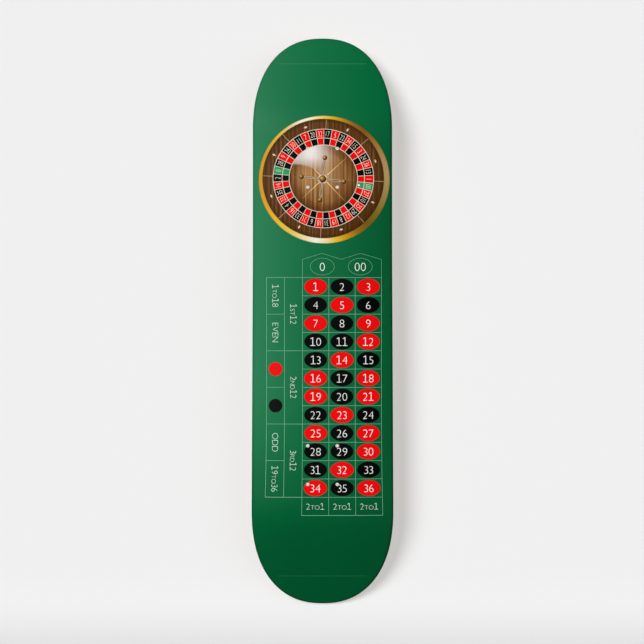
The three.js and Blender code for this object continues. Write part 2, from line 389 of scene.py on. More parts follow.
def drill(piece, board):
    """Cuts the eight bolt holes through a closed piece, as round drills along Y."""
    radius = board.shape.hole_diameter / 2
    low, high = -2 * board.thickness, board.thickness
    turn = np.linspace(0, 2 * math.pi, DRILL_SIDES + 1)[:-1]
    ring = np.arange(DRILL_SIDES)
    ahead = np.roll(ring, -1)
    points, faces = [], []
    for x, z in board.hole_centres():
        near = len(points)
        far = near + DRILL_SIDES
        for y in (low, high):
            points += [(x + radius * math.cos(a), y, z + radius * math.sin(a)) for a in turn]
        faces += np.stack([near + ring, far + ring, far + ahead, near + ahead], axis=1).tolist()
        faces.append((near + ring).tolist())
        faces.append((far + ring[::-1]).tolist())
    mesh = bpy.data.meshes.new("drills")
    mesh.from_pydata(points, [], faces)
    drills = bpy.data.objects.new("drills", mesh)
    bpy.context.scene.collection.objects.link(drills)
    cut = piece.modifiers.new("bolt_holes", "BOOLEAN")
    cut.operation, cut.solver, cut.object = "DIFFERENCE", "MANIFOLD", drills
    graph = bpy.context.evaluated_depsgraph_get()
    drilled = bpy.data.meshes.new_from_object(piece.evaluated_get(graph))
    piece.modifiers.remove(cut)
    if not drilled.polygons:
        raise RuntimeError(f"the bolt holes left nothing of {piece.name}")
    old = piece.data
    drilled.name = old.name
    piece.data = drilled
    bpy.data.meshes.remove(old)
    bpy.data.objects.remove(drills)
    bpy.data.meshes.remove(mesh)
    drilled.shade_smooth()
    drilled.set_sharp_from_angle(angle=CREASE)


# Ink patches: plan points (x, z) and triangles ------------------------------

def grid_patch(x, z, closed=False):
    """A patch from a grid of plan points, its last column joined to its first if closed."""
    rows, cols = x.shape
    index = np.arange(rows * cols).reshape(rows, cols)
    if closed:
        index = np.concatenate([index, index[:, :1]], axis=1)
    a, b, c, d = index[:-1, :-1], index[:-1, 1:], index[1:, 1:], index[1:, :-1]
    first = np.stack([a, b, c], axis=-1).reshape(-1, 3)
    second = np.stack([a, c, d], axis=-1).reshape(-1, 3)
    points = np.stack([x.ravel(), z.ravel()], axis=-1)
    return points, np.concatenate([first, second])


def ring_patch(inner, outer, start=0.0, end=2 * math.pi, steps=120, rings=4):
    """Between two ellipses (x, z, across, along): a straight blend of the same angle's points,
    over a sector or all the way round."""
    whole = abs(end - start - 2 * math.pi) < 1e-9
    turn = np.linspace(start, end, steps + 1)
    if whole:
        turn = turn[:-1]
    share = np.linspace(0, 1, rings + 1)[:, None]
    (xi, zi), (xo, zo) = [(x + across * np.cos(turn), z + along * np.sin(turn))
                          for x, z, across, along in (inner, outer)]
    return grid_patch(xi + (xo - xi) * share, zi + (zo - zi) * share, closed=whole)


def oval_patch(x, z, across, along, steps=48, rings=6):
    """A filled ellipse: rings out from a middle point, sewn to it by a fan."""
    points, faces = ring_patch((x, z, across / rings, along / rings), (x, z, across, along),
                               steps=steps, rings=rings - 1)
    centre = len(points)
    ring = np.arange(steps)
    fan = np.stack([np.full(steps, centre), ring, np.roll(ring, -1)], axis=-1)
    return np.concatenate([points, [[x, z]]]), np.concatenate([faces, fan])


def band_patch(path, width, longest=3 * MM):
    """A band of even width along corner points, mitred: each corner moves half the width over
    the cosine of half its turn, and long runs are split so that they follow the board."""
    path = np.asarray(path, dtype=float)
    ahead = np.diff(path, axis=0)
    ahead = np.vstack([ahead, ahead[-1:]])
    ahead /= np.linalg.norm(ahead, axis=1, keepdims=True)
    both = ahead + np.vstack([ahead[:1], ahead[:-1]])
    side = np.stack([-both[:, 1], both[:, 0]], axis=1)
    side /= np.linalg.norm(side, axis=1, keepdims=True)
    square = np.stack([-ahead[:, 1], ahead[:, 0]], axis=1)
    mitre = side / np.sum(side * square, axis=1, keepdims=True)
    left, right = path + mitre * width / 2, path - mitre * width / 2
    runs = []
    for a, b, c, d in zip(left[:-1], left[1:], right[:-1], right[1:]):
        count = max(1, math.ceil(np.linalg.norm(b - a) / longest))
        t = np.linspace(0, 1, count + 1)[:-1, None]
        runs.append(np.stack([a + (b - a) * t, c + (d - c) * t], axis=1))
    runs.append(np.stack([left[-1:], right[-1:]], axis=1))
    rows = np.concatenate(runs)
    return grid_patch(rows[:, :, 0], rows[:, :, 1])


def join_patches(patches):
    """Several patches as one."""
    points, faces, start = [], [], 0
    for p, f in patches:
        points.append(p)
        faces.append(f + start)
        start += len(p)
    return np.concatenate(points), np.concatenate(faces)


def moved(patch, x=0.0, z=0.0, turn=0.0, across=1.0, along=1.0):
    """A patch scaled, then turned anticlockwise, then moved."""
    points, faces = patch
    scaled = points * np.array([across, along])
    c, s = math.cos(turn), math.sin(turn)
    turned = np.stack([scaled[:, 0] * c - scaled[:, 1] * s,
                       scaled[:, 0] * s + scaled[:, 1] * c], axis=1)
    return turned + np.array([x, z]), faces


CAPITAL = 0.729   # height of a capital of the plain font at size one
THIN = -0.020     # how much the layout's lettering is drawn in
NARROW = -0.016   # the same for the wheel's numbers
LONG_EDGE = 0.3   # a longer edge of a letter is split
SPLITS = 4        # at most so many times over


def lettering(text, bold):
    """Lettering as a patch with capitals one high, its baseline at zero and its left at zero.
    Long edges are split so that it follows the board once it is laid on."""
    curve = bpy.data.curves.new("lettering", "FONT")
    curve.body = text
    curve.offset = bold
    curve.resolution_u = 6
    letters = bpy.data.objects.new("lettering", curve)
    bpy.context.scene.collection.objects.link(letters)
    graph = bpy.context.evaluated_depsgraph_get()
    mesh = bpy.data.meshes.new_from_object(letters.evaluated_get(graph))
    work = bmesh.new()
    work.from_mesh(mesh)
    bmesh.ops.remove_doubles(work, verts=work.verts, dist=1e-5)
    bmesh.ops.triangulate(work, faces=work.faces)
    for _ in range(SPLITS):
        long_edges = [e for e in work.edges if e.calc_length() > LONG_EDGE]
        if not long_edges:
            break
        bmesh.ops.subdivide_edges(work, edges=long_edges, cuts=1)
        bmesh.ops.triangulate(work, faces=[f for f in work.faces if len(f.verts) > 3])
    work.verts.ensure_lookup_table()
    points = np.array([v.co[:2] for v in work.verts])
    faces = np.array([[v.index for v in f.verts] for f in work.faces])
    work.free()
    bpy.data.objects.remove(letters)
    bpy.data.curves.remove(curve)
    bpy.data.meshes.remove(mesh)
    points[:, 0] -= points[:, 0].min()
    return points / CAPITAL, faces


def figure_one():
    """A numeral one with a flag and a foot, as a patch one high: a stem, a slanted flag that
    meets its top, and a foot across its base."""
    stem, side = 0.085, 0.24
    points = np.array([
        (side, 0.075), (side + stem, 0.075), (side + stem, 0.90), (side, 0.90),
        (side + stem, 1.0), (side, 1.0), (0.02, 0.88), (0.02, 0.80),
        (0.0, 0.0), (side, 0.0), (side + stem, 0.0), (2 * side + stem, 0.0),
        (2 * side + stem, 0.075), (0.0, 0.075)])
    faces = np.array([(0, 1, 2), (0, 2, 3), (3, 2, 4), (3, 4, 5), (7, 3, 5), (7, 5, 6),
                      (8, 9, 0), (8, 0, 13), (9, 10, 1), (9, 1, 0), (10, 11, 12),
                      (10, 12, 1)])
    return points, faces


def glyphs(text, gap):
    """Thin lettering one high, set glyph by glyph with an even gap, so that each numeral one
    is the drawn one."""
    patches, x = [], 0.0
    for letter in text:
        points, faces = figure_one() if letter == "1" else lettering(letter, THIN)
        points = points + [x, 0.0]
        x = points[:, 0].max() + gap
        patches.append((points, faces))
    return join_patches(patches)


def words(runs, height, gap=0.13):
    """Runs of lettering in a line, each (text, share of the height), centred on zero."""
    patches, x = [], 0.0
    for text, share in runs:
        points, faces = glyphs(text, gap)
        points = points * height * share
        points[:, 0] += x
        x = points[:, 0].max() + gap * height
        patches.append((points, faces))
    points, faces = join_patches(patches)
    points[:, 0] -= (points[:, 0].min() + points[:, 0].max()) / 2
    points[:, 1] -= height / 2
    return points, faces


class Inks:
    """Depths of the thin layers of the print, from the film's back outwards, in metres. Each
    stays inside the film's own thickness."""
    film = (-0.05 * MM, -0.115 * MM)
    first = (-0.127 * MM, -0.137 * MM)
    second = (-0.145 * MM, -0.153 * MM)
    third = (-0.160 * MM, -0.168 * MM)
    fourth = (-0.175 * MM, -0.182 * MM)
    fifth = (-0.189 * MM, -0.196 * MM)


SLIVER = 1e-14    # doubled area in square metres, under which a triangle is left out
OUTWARD = 0.98    # cosine over which a face counts as lying along the board


def ink_piece(name, patch, layer, board, material, tint=None, drilled=False):
    """A patch laid on the board as a closed plate between a layer's two depths: its face, the
    same face turned over behind it, and walls along every open edge. tint gives a colour for
    each plan point."""
    plan, faces = patch
    a, b, c = (plan[faces[:, k]] for k in range(3))
    area = (b[:, 0] - a[:, 0]) * (c[:, 1] - a[:, 1]) - (b[:, 1] - a[:, 1]) * (c[:, 0] - a[:, 0])
    faces = np.where((area < 0)[:, None], faces[:, ::-1], faces)
    faces = faces[np.abs(area) > SLIVER]
    count = len(plan)
    starts = faces.ravel()
    ends = np.roll(faces, -1, axis=1).ravel()
    one_way, other_way = starts * count + ends, ends * count + starts
    open_edge = ~np.isin(one_way, other_way)
    s, e = starts[open_edge], ends[open_edge]
    back, front = layer
    points = np.concatenate([board.place(plan[:, 0], plan[:, 1], front),
                             board.place(plan[:, 0], plan[:, 1], back)])
    walls = np.stack([e, s, s + count, e + count], axis=1)
    whole = faces.tolist() + (faces[:, ::-1] + count).tolist() + walls.tolist()
    points, whole = compact(points, whole)
    piece = new_piece(name, points, whole, material, "printed_film")
    if drilled:
        drill(piece, board)
    lay_normals(piece.data, board)
    if tint is not None:
        paint(piece.data, tint)
    return piece


def lay_normals(mesh, board):
    """Gives the outward face of an ink the board's own normals, so that it shines as one with
    the film round it, and leaves its walls and its back flat."""
    loops = len(mesh.loops)
    vertex = np.empty(loops, dtype=np.int32)
    mesh.loops.foreach_get("vertex_index", vertex)
    place = np.empty(len(mesh.vertices) * 3)
    mesh.vertices.foreach_get("co", place)
    place = place.reshape(-1, 3)
    normal = np.empty(len(mesh.polygons) * 3)
    mesh.polygons.foreach_get("normal", normal)
    total = np.empty(len(mesh.polygons), dtype=np.int32)
    mesh.polygons.foreach_get("loop_total", total)
    flat = np.repeat(normal.reshape(-1, 3), total, axis=0)
    smooth = board.facing(place[:, 0], place[:, 2])[vertex]
    outward = np.sum(flat * smooth, axis=1) > OUTWARD
    mesh.normals_split_custom_set(np.where(outward[:, None], smooth, flat).tolist())


def paint(mesh, tint):
    """Writes tint(x, z), a linear colour for each plan point, as the ink attribute."""
    place = np.empty(len(mesh.vertices) * 3)
    mesh.vertices.foreach_get("co", place)
    place = place.reshape(-1, 3)
    rgba = np.ones((len(place), 4))
    rgba[:, :3] = tint(place[:, 0], place[:, 2])
    layer = mesh.color_attributes.new("ink", "FLOAT_COLOR", "POINT")
    layer.data.foreach_set("color", rgba.ravel())


# Materials ------------------------------------------------------------------

class Graph:
    """A node tree with short calls: each adds a node, sets or links its inputs, and gives the
    node back."""

    def __init__(self, tree):
        self.tree = tree

    def add(self, kind, links=None, **settings):
        node = self.tree.nodes.new(kind)
        for key, value in settings.items():
            setattr(node, key, value)
        for socket, value in (links or {}).items():
            self.feed(node, socket, value)
        return node

    def feed(self, node, socket, value):
        target = node.inputs[socket]
        if isinstance(value, bpy.types.NodeSocket):
            self.tree.links.new(value, target)
        elif isinstance(value, bpy.types.Node):
            self.tree.links.new(value.outputs[0], target)
        else:
            target.default_value = value

    def maths(self, operation, *values):
        links = dict(enumerate(values))
        return self.add("ShaderNodeMath", links, operation=operation).outputs[0]

    def mix(self, factor, a, b, blend="MIX"):
        node = self.add("ShaderNodeMix", data_type="RGBA", blend_type=blend)
        self.feed(node, 0, factor)
        self.feed(node, 6, a)
        self.feed(node, 7, b)
        return node.outputs[2]

    def noise(self, vector, scale, detail=4.0, roughness=0.55, distortion=0.0):
        node = self.add("ShaderNodeTexNoise", {"Vector": vector, "Scale": scale,
                        "Detail": detail, "Roughness": roughness, "Distortion": distortion})
        return node.outputs["Fac"]

    def span(self, value, low, high, to_low=0.0, to_high=1.0):
        node = self.add("ShaderNodeMapRange", {0: value, 1: low, 2: high, 3: to_low,
                                               4: to_high})
        return node.outputs[0]

    def stretched(self, x, y, z):
        where = self.add("ShaderNodeTexCoord").outputs["Object"]
        return self.add("ShaderNodeMapping", {"Vector": where, "Scale": (x, y, z)}).outputs[0]


def new_group(name, inputs, outputs):
    """A shader node group with named sockets, each (name, socket type, default)."""
    group = bpy.data.node_groups.new(name, "ShaderNodeTree")
    for label, kind, default in inputs:
        socket = group.interface.new_socket(label, in_out="INPUT", socket_type=kind)
        socket.default_value = default
    for label, kind in outputs:
        group.interface.new_socket(label, in_out="OUTPUT", socket_type=kind)
    graph = Graph(group)
    return graph, group.nodes.new("NodeGroupInput"), group.nodes.new("NodeGroupOutput")


SATIN = 0.46      # roughness of the clear coat
SHEEN = 0.06      # its specular level, where 0.5 is a bare gloss varnish
LACQUER = 0.25    # roughness of the lacquer on the bare wood


def ink_group():
    """Ink under a satin clear coat: the colour drifts a little, fine specks break it up, the
    coat is slightly uneven, and the veneer's long grain shows through as faint relief."""
    if "printed_ink" in bpy.data.node_groups:
        return bpy.data.node_groups["printed_ink"]
    graph, given, out = new_group("printed_ink", [
        ("Ink", "NodeSocketColor", (0.5, 0.5, 0.5, 1)),
        ("Drift", "NodeSocketFloat", 0.10),
        ("Roughness", "NodeSocketFloat", SATIN),
    ], [("Colour", "NodeSocketColor"), ("Roughness", "NodeSocketFloat"),
        ("Normal", "NodeSocketVector")])
    where = graph.stretched(1, 1, 1)
    along = graph.stretched(1, 1, 0.05)
    cloud = graph.noise(where, 9.0, 3.0)
    speck = graph.noise(where, 900.0, 2.0)
    grain = graph.noise(along, 420.0, 5.0, 0.6)
    drift = graph.maths("MULTIPLY", graph.maths("SUBTRACT", cloud, 0.5), given.outputs["Drift"])
    fine = graph.maths("MULTIPLY", graph.maths("SUBTRACT", speck, 0.5), 0.05)
    level = graph.maths("ADD", graph.maths("ADD", drift, fine), 1.0)
    shade = graph.add("ShaderNodeCombineColor", {0: level, 1: level, 2: level})
    tinted = graph.mix(1.0, given.outputs["Ink"], shade.outputs[0], "MULTIPLY")
    uneven = graph.maths("ADD", graph.span(cloud, 0.3, 0.7, -0.04, 0.04),
                         graph.span(grain, 0.3, 0.7, -0.03, 0.03))
    rough = graph.maths("ADD", given.outputs["Roughness"], uneven)
    height = graph.maths("ADD", graph.maths("MULTIPLY", grain, 0.7),
                         graph.maths("MULTIPLY", graph.noise(where, 160.0, 2.0), 0.3))
    bump = graph.add("ShaderNodeBump", {"Strength": 0.12, "Distance": 0.00006,
                                        "Height": height})
    graph.feed(out, "Colour", tinted)
    graph.feed(out, "Roughness", rough)
    graph.feed(out, "Normal", bump)
    return graph.tree


def maple_group():
    """Maple as a solid pattern: slow rings bent by low noise, long fibres, short dark flecks
    and broad drift. Along stretches it down the grain, so its ends show as end grain."""
    if "maple_grain" in bpy.data.node_groups:
        return bpy.data.node_groups["maple_grain"]
    graph, given, out = new_group("maple_grain", [
        ("Light", "NodeSocketColor", (0.8, 0.6, 0.4, 1)),
        ("Dark", "NodeSocketColor", (0.6, 0.4, 0.2, 1)),
        ("Grain", "NodeSocketVector", (0, 0, 0)),
        ("Ring", "NodeSocketFloat", 0.5),
        ("Roughness", "NodeSocketFloat", 0.5),
    ], [("Colour", "NodeSocketColor"), ("Roughness", "NodeSocketFloat"),
        ("Normal", "NodeSocketVector")])
    grain = given.outputs["Grain"]
    bend = graph.noise(grain, 14.0, 2.0, 0.5)
    across = graph.add("ShaderNodeSeparateXYZ", {0: grain}).outputs[0]
    phase = graph.maths("ADD", graph.maths("MULTIPLY", across, 60.0),
                        graph.maths("MULTIPLY", bend, 26.0))
    saw = graph.maths("FRACT", phase)
    ring = graph.maths("POWER", saw, 2.2)
    fibre = graph.noise(grain, 900.0, 4.0, 0.65)
    broad = graph.noise(grain, 30.0, 3.0, 0.5)
    fleck_at = graph.noise(grain, 1500.0, 1.0, 0.4)
    fleck = graph.span(fleck_at, 0.66, 0.74)
    wood = graph.maths("ADD", graph.maths("MULTIPLY", ring, given.outputs["Ring"]),
                       graph.maths("ADD", graph.span(fibre, 0.35, 0.68, 0.0, 0.30),
                                   graph.span(broad, 0.3, 0.7, 0.0, 0.28)))
    tone = graph.mix(wood, given.outputs["Light"], given.outputs["Dark"])
    marked = graph.mix(graph.maths("MULTIPLY", fleck, 0.35), tone,
                       (0.25, 0.15, 0.07, 1))
    rough = graph.maths("ADD", given.outputs["Roughness"],
                        graph.span(fibre, 0.3, 0.7, -0.06, 0.08))
    bump = graph.add("ShaderNodeBump", {"Strength": 0.25, "Distance": 0.00008,
                                        "Height": fibre})
    graph.feed(out, "Colour", marked)
    graph.feed(out, "Roughness", rough)
    graph.feed(out, "Normal", bump)
    return graph.tree


def new_material(name):
    """An empty node material, its graph and its Principled shader."""
    material = bpy.data.materials.new(name)
    material.use_nodes = True
    material.node_tree.nodes.clear()
    graph = Graph(material.node_tree)
    shader = graph.add("ShaderNodeBsdfPrincipled")
    output = graph.add("ShaderNodeOutputMaterial")
    graph.feed(output, "Surface", shader)
    return material, graph, shader


def use_group(graph, shader, group, values):
    """Places a group and takes the shader's colour, roughness and normal from it."""
    node = graph.add("ShaderNodeGroup", node_tree=group)
    for label, value in values.items():
        graph.feed(node, label, value)
    graph.feed(shader, "Base Color", node.outputs["Colour"])
    graph.feed(shader, "Roughness", node.outputs["Roughness"])
    graph.feed(shader, "Normal", node.outputs["Normal"])


def ink_material(name, ink=None, drift=0.10):
    """A printed ink of one colour, or with none given, of the ink attribute's colours."""
    if name in bpy.data.materials:
        return bpy.data.materials[name]
    material, graph, shader = new_material(name)
    if ink is None:
        source = graph.add("ShaderNodeVertexColor", layer_name="ink").outputs["Color"]
    else:
        source = (*ink, 1)
    use_group(graph, shader, ink_group(),
              {"Ink": source, "Drift": drift, "Roughness": SATIN})
    shader.inputs["Specular IOR Level"].default_value = SHEEN
    return material


GRAIN_STRETCH = 0.045   # scale of the pattern down the grain, against one across it


def maple_material(name, light, dark, along, ring, roughness, lacquer):
    """Maple veneer with its grain along Z, or along X for a cross band."""
    material, graph, shader = new_material(name)
    grain = (graph.stretched(1, 1, GRAIN_STRETCH) if along
             else graph.stretched(GRAIN_STRETCH, 1, 1))
    use_group(graph, shader, maple_group(),
              {"Light": (*light, 1), "Dark": (*dark, 1), "Grain": grain, "Ring": ring,
               "Roughness": roughness})
    shader.inputs["Coat Weight"].default_value = lacquer
    shader.inputs["Coat Roughness"].default_value = LACQUER
    return material


# The plies and the film -----------------------------------------------------

EDGE_STEPS = 5      # round the edge of one ply
WRAP_STEPS = 8      # of the film where it rolls over the lower edge
PLY_COLUMNS = 14    # from the flat seat out to a rail
FILM_COLUMNS = 22


def ply_levels(board, place):
    """Levels of one ply: its lower face, its rounded edge in even steps, its upper face. Both
    sides of a glue line share one inset, so the faces that meet there run parallel. The two
    face plies' steps crowd towards the face, as the square of their share."""
    shape = board.shape
    first, last = place == 0, place == len(PLY_NODES) - 1
    low = place * (shape.ply + shape.glue_gap)
    high = low + shape.ply
    seam_low = low if first else low - shape.glue_gap / 2
    seam_high = high if last else high + shape.glue_gap / 2
    share = np.linspace(0, 1, EDGE_STEPS + 1)
    if first:
        share = share ** 2
    if last:
        share = 1 - (1 - share) ** 2
    seams = seam_low + (seam_high - seam_low) * share
    return list(zip(board.edge_inset(seams), low + (high - low) * share))


class DECK_OT_plies(bpy.types.Operator):
    """Presses the seven maple plies, with their rounded edges and bolt holes"""
    bl_idname = "deck.plies"
    bl_label = "Plies"

    def execute(self, context):
        board = Board(context.scene.deck_shape)
        inks = context.scene.deck_inks
        face = maple_material("maple_face", inks.maple_light, inks.maple_dark, along=True,
                              ring=0.42, roughness=0.42, lacquer=0.35)
        long = maple_material("maple_long", inks.maple_light, inks.maple_dark, along=True,
                              ring=0.35, roughness=0.55, lacquer=0.15)
        cross = maple_material("maple_cross", inks.band_light, inks.band_dark, along=False,
                               ring=0.35, roughness=0.6, lacquer=0.1)
        finishes = {"face": (face, "face_maple"), "long": (long, "long_maple"),
                    "core": (long, "long_maple"), "cross": (cross, "cross_maple")}
        for place, node in enumerate(PLY_NODES):
            material, slot = finishes[node.split("_")[-1]]
            points, faces = layer_arrays(board, ply_levels(board, place), PLY_COLUMNS)
            piece = new_piece(f"pressed_{node}", points, faces, material, slot)
            drill(piece, board)
            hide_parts(node)
        return {"FINISHED"}


# How the baize green runs along the deck, with painted light and shade: height in mm, strength on
# the centreline (painted darker towards the nose), how much it gains from there to the left rail
# and loses to the right one (painted light from the upper left), and strength of the painted
# sheen.
GROUND_AND_LIGHT_STOPS = [(-420, 0.62, 0.03, 0.0), (-330, 0.67, 0.05, 0.0), (-280, 0.77, 0.07, 0.0),
                (-228, 0.85, 0.12, 0.08), (-172, 0.94, 0.22, 0.50), (-96, 0.98, 0.27, 1.0),
                (220, 1.0, 0.27, 1.0), (290, 1.03, 0.13, 1.1), (400, 1.03, 0.12, 1.1)]
PAINTED_SHEEN = (0.0045, 0.0063, 0.0072)   # painted sheen: a pale reflection of the key light laid over the green, on the centreline


def ground_tint(board, green):
    """The ground's green ink with painted light and shade: green times (strength - gain * x /
    half width), painted lighter to the left and the tail and darker to the right and the nose as
    if lit from the upper left, and over it a painted sheen, a pale reflection that grows to the
    left as the square of (1 - x / half width)."""
    heights, strengths, gains, sheen_shares = np.array(GROUND_AND_LIGHT_STOPS).T
    half = board.shape.width / 2

    def tint(x, z):
        across = np.clip(x / half, -1, 1)
        level = np.interp(z / MM, heights, strengths)
        level = level - np.interp(z / MM, heights, gains) * across
        # painted sheen, a pale reflection that grows towards the left rail
        sheen_share = np.interp(z / MM, heights, sheen_shares) * (1 - across) ** 2
        return np.array(green) * level[:, None] + np.array(PAINTED_SHEEN) * sheen_share[:, None]
    return tint


class DECK_OT_film(bpy.types.Operator):
    """Rolls the green printed film over the underside and round the lower edge"""
    bl_idname = "deck.film"
    bl_label = "Printed film"

    def execute(self, context):
        board = Board(context.scene.deck_shape)
        radius = board.shape.edge_radius
        turn = np.linspace(0, board.shape.film_wrap, WRAP_STEPS + 1)
        back, front = Inks.film
        levels = [(radius - (radius - depth) * math.sin(a),
                   radius - (radius - depth) * math.cos(a))
                  for depth, swing in ((front, turn), (back, turn[::-1])) for a in swing]
        points, faces = layer_arrays(board, levels, FILM_COLUMNS)
        ground = ink_material("ink_ground", drift=0.08)
        piece = new_piece("film_ground", points, faces, ground, "printed_film")
        drill(piece, board)
        # the film's colour carries painted light and shade, and a painted sheen over it
        paint(piece.data, ground_tint(board, context.scene.deck_inks.ground))
        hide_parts("graphic_film")
        return {"FINISHED"}


# The printed wheel ----------------------------------------------------------

class Wheel:
    """The wheel's ellipses and angles. Rings inside the rim are squashed along the board by
    the same share as the track."""

    clockwise = [0, 28, 9, 26, 30, 11, 7, 20, 32, 17, 5, 22, 34, 15, 3, 24, 36, 13, 1,
                 "00", 27, 10, 25, 29, 12, 8, 19, 31, 18, 6, 21, 33, 16, 4, 23, 35, 14, 2]
    track_shift = -0.2 * MM   # the track's middle from the hub, across

    def __init__(self, sizes):
        self.sizes = sizes
        self.squash = sizes.track_along / sizes.track_across
        self.pocket = 2 * math.pi / len(self.clockwise)

    def ellipse(self, radius):
        return (self.sizes.hub_x, self.sizes.hub_z, radius, radius * self.squash)

    def point(self, radius, turn):
        x, z, across, along = self.ellipse(radius)
        return np.array([x + across * math.cos(turn), z + along * math.sin(turn)])

    def polar(self, x, z):
        """Radius and angle of plan points about the hub, with the squash undone."""
        dx, dz = x - self.sizes.hub_x, (z - self.sizes.hub_z) / self.squash
        return np.hypot(dx, dz), np.arctan2(dz, dx)

    def pocket_angle(self, place):
        return self.sizes.first_pocket - place * self.pocket

    def rim(self):
        s = self.sizes
        return (s.rim_x, s.rim_z, s.rim_across, s.rim_along)

    def track(self):
        s = self.sizes
        return (s.hub_x + self.track_shift, s.hub_z, s.track_across, s.track_along)


def display_colours(rows):
    """Rows of display colours from 0 to 255 as a linear array."""
    return np.array([[srgb_to_linear(v) for v in row] for row in rows])


def blend_stops(t, places, colours):
    """Colours along t, by straight steps between stops."""
    return np.stack([np.interp(t, places, colours[:, k]) for k in range(3)], axis=-1)


GILT_STOPS = [
    # direction in degrees, display colour
    (-180, (204, 148, 36)), (-156, (218, 154, 34)), (-138, (226, 178, 40)),
    (-122, (224, 192, 86)), (-108, (238, 218, 162)), (-98, (242, 238, 220)),
    (-89, (236, 216, 156)), (-79, (224, 184, 50)), (-69, (194, 144, 20)),
    (-58, (146, 104, 16)), (-46, (116, 88, 16)), (-34, (122, 104, 26)),
    (-18, (152, 124, 62)), (4, (178, 148, 94)), (20, (176, 136, 84)),
    (38, (154, 106, 40)), (50, (134, 82, 22)), (62, (144, 96, 26)), (72, (176, 130, 22)),
    (82, (212, 168, 20)), (92, (236, 202, 98)), (102, (246, 232, 186)),
    (110, (240, 236, 214)), (120, (230, 210, 150)), (131, (226, 184, 80)),
    (142, (226, 172, 34)), (158, (210, 152, 34)), (180, (204, 148, 36)),
]


def gilt_tint(wheel):
    """Gold of the rim by direction round its centre, a shade darker at both of its edges."""
    places = np.radians([stop[0] for stop in GILT_STOPS])
    colours = display_colours([stop[1] for stop in GILT_STOPS])
    rim, track = wheel.rim(), wheel.track()

    def tint(x, z):
        turn = np.arctan2(z - rim[1], x - rim[0])
        out = np.hypot((x - rim[0]) / rim[2], (z - rim[1]) / rim[3])
        into = np.hypot((x - track[0]) / track[2], (z - track[1]) / track[3])
        edge = np.clip((out - 0.985) / 0.015, 0, 1) * 0.25
        edge += np.clip((1.012 - into) / 0.012, 0, 1) * 0.35
        return blend_stops(turn, places, colours) * (1 - edge)[:, None]
    return tint


def bell(value, centre, spread):
    """A smooth hump: exp of minus the square of the distance over the spread."""
    return np.exp(-((value - centre) / spread) ** 2)


def streaks(x, z, seed, count, low, high):
    """Vertical grain: a sum of fine waves across the board whose phases drift slowly along
    it, evened out to stay near zero."""
    draw = np.random.default_rng(seed)
    total = np.zeros_like(x)
    for _ in range(count):
        pitch = draw.uniform(low, high)
        drift = draw.uniform(-0.6, 0.6) * np.sin(z / draw.uniform(30 * MM, 90 * MM)
                                                 + draw.uniform(0, 6.28))
        total += np.sin(2 * math.pi * x / pitch + draw.uniform(0, 6.28) + drift)
    return total / math.sqrt(count)


def wood_tone(light, dark, mid, pale):
    """Dark to mid to pale wood for a light from zero to one."""
    light = np.clip(light, 0, 1)[:, None]
    low = dark + (mid - dark) * np.clip(light * 2, 0, 1)
    return low + (pale - mid) * np.clip(light * 2 - 1, 0, 1)


def track_tint(wheel):
    """Dark stained wood with vertical grain, a little paler at the top and to the left, and
    shaded where the rim stands over it."""
    tones = display_colours([(34, 15, 1), (88, 52, 16), (150, 112, 72)])

    def tint(x, z):
        radius, turn = wheel.polar(x, z)
        grain = streaks(x, z, 7, 9, 2.2 * MM, 9 * MM)
        light = 0.46 + 0.13 * grain
        light += 0.07 * bell(turn, math.radians(102), 0.34)
        light += 0.04 * bell(turn, math.radians(-100), 0.26)
        light += 0.05 * bell(np.abs(turn), math.pi, 0.55)
        light += 0.06 * bell(turn, math.radians(30), 0.50)
        light -= 0.06 * bell(turn, math.radians(-50), 0.50)
        light -= 0.22 * np.clip((radius / wheel.sizes.track_across - 0.93) / 0.07, 0, 1)
        return wood_tone(light, *tones)
    return tint


def bowl_tint(wheel):
    """Planks of polished wood with pale joints, darker round the edge and to the right, under
    a printed gloss: a white cap over the upper left whose lower edge falls away as a parabola
    towards the hub, and which fades to the right."""
    s = wheel.sizes
    tones = display_colours([(40, 20, 2), (122, 77, 33), (206, 159, 105)])
    white = display_colours([(240, 234, 230)])[0]
    joints = np.array([-24.6, -13.0, -1.6, 13.4, 22.6]) * MM
    plank_light = np.array([-0.05, 0.00, 0.05, 0.04, -0.03, -0.10])

    def tint(x, z):
        radius, _ = wheel.polar(x, z)
        u, w = x - s.hub_x, z - s.hub_z
        plank = plank_light[np.searchsorted(joints, u)]
        light = 0.66 + plank + 0.13 * streaks(x, z, 11, 10, 1.6 * MM, 8 * MM)
        light += 0.14 * bell(u, -24 * MM, 9 * MM) * bell(w, 0, 22 * MM)
        light += 0.14 * bell(u, 6 * MM, 4 * MM) * bell(w, 4 * MM, 40 * MM)
        light -= 0.28 * np.clip(radius / s.ring_inner - 0.72, 0, 1) / 0.28
        light -= 0.22 * np.clip(-w / (42 * MM), 0, 1)
        for joint in joints:
            light += 0.30 * bell(u, joint, 0.45 * MM) * np.clip(0.45 - w / (50 * MM), 0, 1)
        wood = wood_tone(light, *tones)
        edge = 20.0 * MM - 9.1 * np.maximum(0, u + 40 * MM) ** 2
        cap = 1 / (1 + np.exp(-(w - edge) / (0.45 * MM)))
        bright = 0.62 + 0.38 * bell(u, -18 * MM, 13 * MM) * bell(w, 38 * MM, 14 * MM)
        fade = 1 / (1 + np.exp((u - 3 * MM) / (4.8 * MM)))
        low = np.clip((w - 8 * MM) / (20 * MM), 0.25, 1)
        share = np.clip(cap * bright * fade * low, 0, 0.95)[:, None]
        return wood + (white - wood) * share
    return tint


def ball_tint(x0, z0, radius, stops):
    """A printed ball: colour by distance from a highlight up and to the left of its middle."""
    places = np.array([stop[0] for stop in stops])
    colours = display_colours([stop[1] for stop in stops])

    def tint(x, z):
        away = np.hypot(x - x0 + 0.28 * radius, z - z0 - 0.28 * radius) / radius
        return blend_stops(away, places, colours)
    return tint


